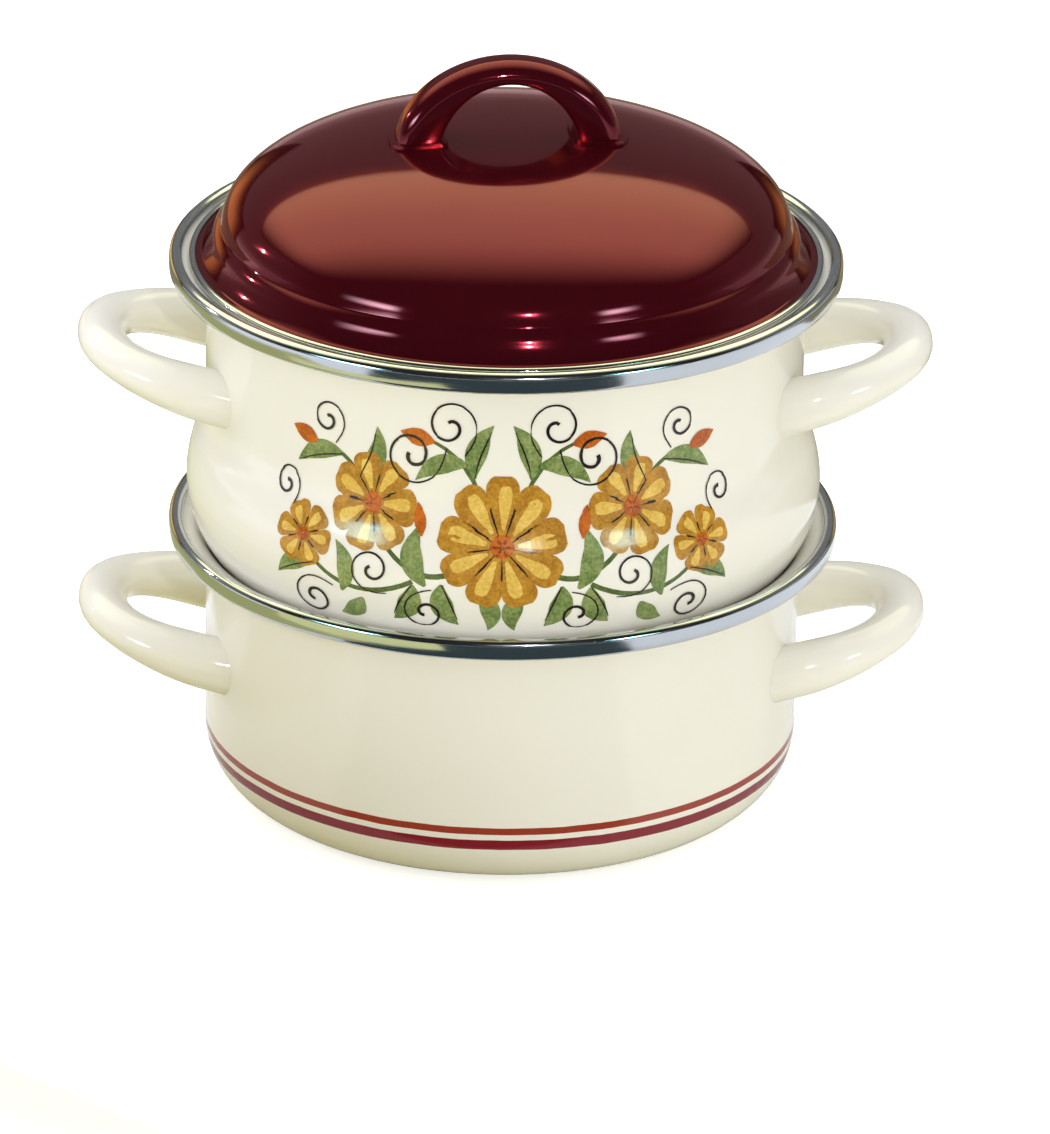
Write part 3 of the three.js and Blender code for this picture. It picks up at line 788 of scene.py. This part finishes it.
# Studio: a white floor that throws its light back warm, and ochre at the left. Panels overhead, at the
# sides and in front, and an ochre card at the left, light the pots. Strips, a dark cloth and the other
# ochre cards only show in their gloss, as a bluer floor does. Two small lamps give the glints.
FLOOR_WHITE = (0.88, 0.88, 0.87, 1)
FLOOR_WARM = (0.83, 0.81, 0.63, 1)
FLOOR_OCHRE = (0.5, 0.43, 0.02, 1)
FLOOR_MIRRORED = (0.84, 0.86, 0.9, 1)
FLOOR_GLOW = 0.6
FLOOR_SIZE = 60
FLOOR_DROP = 0.05 * MM
OCHRE_SPOT = (-0.2, -0.02, 0)
OCHRE_CORE, OCHRE_EDGE = 0.08, 0.34  # distances from the spot between which the ochre fades
CARDS_AIM = (0, 0, 0.12)
CLOTH_SPREAD = 29  # times as wide at its far end as at the pots
CLOTH_TURN = math.radians(-4.1)
LAMP_AIM = (0, 0, 0.15)
LAMP_SIZE = 0.06
SKY_LIGHT = 0.68
SKY_IN_FRONT, SKY_BEHIND = 0.02, 0.19  # as the pots mirror it
SKY_LOW_DOWN = 1.6  # times as bright near the ground
DARK = (0, 0, 0)
DOWN, UP = (0, 0, -1), (0, 0, 1)

scene = bpy.context.scene
scene.view_settings.view_transform = "Standard"


def faded(tree, value, low, high, start=0, end=1):
    """A smooth change from start to end while a value goes from low to high."""
    return put(tree, "ShaderNodeMapRange", {
        "Value": value, "From Min": low, "From Max": high, "To Min": start, "To Max": end},
        interpolation_type="SMOOTHSTEP").outputs[0]


def grey(level):
    return (level, level, level)


bpy.ops.object.select_all(action="DESELECT")
bpy.ops.mesh.primitive_plane_add(size=FLOOR_SIZE, location=(0, 0, -FLOOR_DROP))
floor = bpy.context.object
floor.name = "floor"
white, tree, shader = finish("white_floor")
path = put(tree, "ShaderNodeLightPath").outputs
place = put(tree, "ShaderNodeTexCoord").outputs["Object"]
away = put(tree, "ShaderNodeVectorMath", {0: place, 1: OCHRE_SPOT}, operation="DISTANCE").outputs["Value"]
warm = mixed(tree, faded(tree, away, OCHRE_CORE, OCHRE_EDGE, 1, 0), FLOOR_WARM, FLOOR_OCHRE)
paper = mixed(tree, path["Is Diffuse Ray"], FLOOR_WHITE, warm)
tree.links.new(mixed(tree, path["Is Glossy Ray"], paper, FLOOR_MIRRORED), shader.inputs["Base Color"])
shader.inputs["Roughness"].default_value = 0.9
shader.inputs["Specular IOR Level"].default_value = 0.1
shader.inputs["Emission Color"].default_value = (1, 1, 1, 1)
seen = maths(tree, "MAXIMUM", path["Is Camera Ray"], path["Is Transmission Ray"])
tree.links.new(maths(tree, "MULTIPLY", seen, FLOOR_GLOW), shader.inputs["Emission Strength"])
floor.data.materials.append(white)


def card(name, centre, size, light=DARK, shine=DARK, soft=(0, 0, 0, 0), facing=None):
    """A card that faces the pots, with its colour as light and as seen in gloss. Its right, left, lower
    and upper borders, as seen from the pots, fade over the given widths."""
    bpy.ops.object.select_all(action="DESELECT")
    bpy.ops.mesh.primitive_plane_add(size=1)
    piece = bpy.context.object
    piece.name = piece.data.name = name
    piece.scale = (*size, 1)
    bpy.ops.object.transform_apply(location=False, rotation=False, scale=True)
    piece.location = centre
    toward = Vector(facing) if facing else Vector(CARDS_AIM) - Vector(centre)
    piece.rotation_euler = toward.to_track_quat("Z", "Y").to_euler()
    piece.visible_camera = False
    piece.visible_diffuse = light != DARK
    piece.visible_glossy = shine != DARK
    material = bpy.data.materials.new(name)
    material.use_nodes = True
    tree = material.node_tree
    tree.nodes.remove(tree.nodes["Principled BSDF"])
    path = put(tree, "ShaderNodeLightPath").outputs
    colour = mixed(tree, path["Is Glossy Ray"], (*light, 1), (*shine, 1))
    lit = put(tree, "ShaderNodeEmission", {"Color": colour, "Strength": 1})
    axes = put(tree, "ShaderNodeSeparateXYZ", {0: put(tree, "ShaderNodeTexCoord").outputs["Object"]}).outputs
    half_width, half_height = size[0] / 2, size[1] / 2
    borders = (("X", half_width, -1), ("X", -half_width, 1), ("Y", -half_height, 1), ("Y", half_height, -1))
    strength = None
    for width, (axis, edge, inward) in zip(soft, borders):
        if width:
            ramp = faded(tree, axes[axis], edge, edge + inward * width)
            strength = ramp if strength is None else maths(tree, "MULTIPLY", strength, ramp)
    if strength:
        tree.links.new(strength, lit.inputs["Strength"])
    tree.links.new(lit.outputs[0], tree.nodes["Material Output"].inputs["Surface"])
    piece.data.materials.append(material)
    return piece


card("overhead_panel", (-0.1, 0.47, 1.0), (3.4, 1.66), grey(1.9), (2.1, 2.1, 1.25), (1.0, 1.0, 0.75, 0.1),
     DOWN)
card("left_panel", (-1.75, -1.3, 0.35), (1.4, 1.1), grey(3.2))
card("right_panel", (1.5, -1.6, 0.35), (1.4, 1.1), grey(2.6))
card("front_fill", (0, -2.4, 0.6), (1.2, 0.6), grey(2.5))
card("left_wall", (-1.6, 0.1, 0.6), (1.2, 0.8), (2.2, 2.25, 2.7))
card("right_wall", (1.6, 0.1, 0.6), (1.2, 0.8), grey(1.2))
card("ochre_front_left", (-0.17, -0.19, 0.045), (0.24, 0.08), (0.35, 0.3, 0.02), (0.8, 0.8, 0.4))
card("left_strip", (-1.76, -1.28, 0.64), (1.1, 0.46), DARK, (11, 23, 24), (0.8, 0.25, 0.2, 0.25))
card("right_strip", (1.54, -1.54, 0.68), (0.75, 0.44), DARK, (10, 20, 21), (0.25, 0.45, 0.2, 0.23))
card("ochre_behind_left", (-0.75, 1.25, 0.1), (0.9, 0.7), DARK, (1.0, 0.64, 0.2), (0.3, 0.3, 0, 0.3))
card("ochre_behind_right", (0.75, 1.35, 0.1), (0.7, 0.6), DARK, (0.6, 0.4, 0.12), (0.3, 0.3, 0, 0.3))
card("ochre_floor", (-0.36, 0.06, 0.003), (0.42, 0.6), DARK, (0.46, 0.47, 0.2), facing=UP)
card("ochre_table", (0, 0.95, 0.002), (3, 1.5), DARK, (0.26, 0.24, 0.16), facing=UP)
cloth = card("dark_cloth", (-0.111, -1.546, 0.002), (0.17, 2.9), DARK, (0.045, 0.065, 0.07), facing=UP)
cloth.rotation_euler[2] = CLOTH_TURN
bpy.ops.object.mode_set(mode="EDIT")
pick(cloth, "EDGE", lambda at: at.y < 0)
bpy.ops.transform.resize(value=(CLOTH_SPREAD, 1, 1))
bpy.ops.object.mode_set(mode="OBJECT")

for name, place, power in (("front_lamp", (0.36, -2.25, 1.0), 8), ("left_lamp", (-2.2, 1.0, 0.75), 12)):
    lamp = bpy.data.objects.new(name, bpy.data.lights.new(name, "AREA"))
    lamp.data.energy = power
    lamp.data.shape, lamp.data.size = "DISK", LAMP_SIZE
    lamp.location = place
    lamp.rotation_euler = (Vector(LAMP_AIM) - Vector(place)).to_track_quat("-Z", "Y").to_euler()
    scene.collection.objects.link(lamp)

world = bpy.data.worlds.new("studio")
world.use_nodes = True
tree = world.node_tree
sky = tree.nodes["Background"]
path = put(tree, "ShaderNodeLightPath").outputs
place = put(tree, "ShaderNodeTexCoord").outputs["Generated"]
direction = put(tree, "ShaderNodeSeparateXYZ", {0: place}).outputs
mirrored = maths(tree, "MULTIPLY", faded(tree, direction["Y"], -0.25, 0.35, SKY_IN_FRONT, SKY_BEHIND),
                 faded(tree, direction["Z"], 0.02, 0.12, SKY_LOW_DOWN, 1))
light = put(tree, "ShaderNodeMapRange", {
    "Value": path["Is Glossy Ray"], "To Min": SKY_LIGHT, "To Max": mirrored}).outputs[0]
tree.links.new(maths(tree, "MAXIMUM", light, path["Is Camera Ray"]), sky.inputs["Strength"])
sky.inputs["Color"].default_value = (1, 1, 1, 1)
scene.world = world

# Camera: a long lens about three metres away, well above the lid, tipped under one degree. It aims a
# little to the right of the pots' middle and below it, as the picture is framed.
AIM = Vector((0, 0, 0.110))
DISTANCE = 3.001
ELEVATION = math.radians(22.3)
ROLL = math.radians(0.83)
PIXELS_PER_METRE = 3310
PIXELS_RIGHT, PIXELS_DOWN = 21.3, 125.05
OFF_RIGHT, OFF_DOWN = PIXELS_RIGHT / PIXELS_PER_METRE, PIXELS_DOWN / PIXELS_PER_METRE
SENSOR = 36
FOCAL = 315.3

eye = AIM + DISTANCE * Vector((0, -math.cos(ELEVATION), math.sin(ELEVATION)))
level_right = Vector((1, 0, 0))
level_up = Vector((0, math.sin(ELEVATION), math.cos(ELEVATION)))
right = level_right * math.cos(ROLL) + level_up * math.sin(ROLL)
up = level_up * math.cos(ROLL) - level_right * math.sin(ROLL)
target = AIM + right * OFF_RIGHT - up * OFF_DOWN
back = (eye - target).normalized()
right = up.cross(back).normalized()
up = back.cross(right)
camera = bpy.data.objects.new("camera", bpy.data.cameras.new("camera"))
camera.data.lens = FOCAL
camera.data.sensor_fit = "VERTICAL"
camera.data.sensor_height = SENSOR
camera.data.clip_end = 200
camera.matrix_world = Matrix.Translation(eye) @ Matrix((right, up, back)).transposed().to_4x4()
scene.collection.objects.link(camera)
scene.camera = camera

bpy.context.view_layer.update()
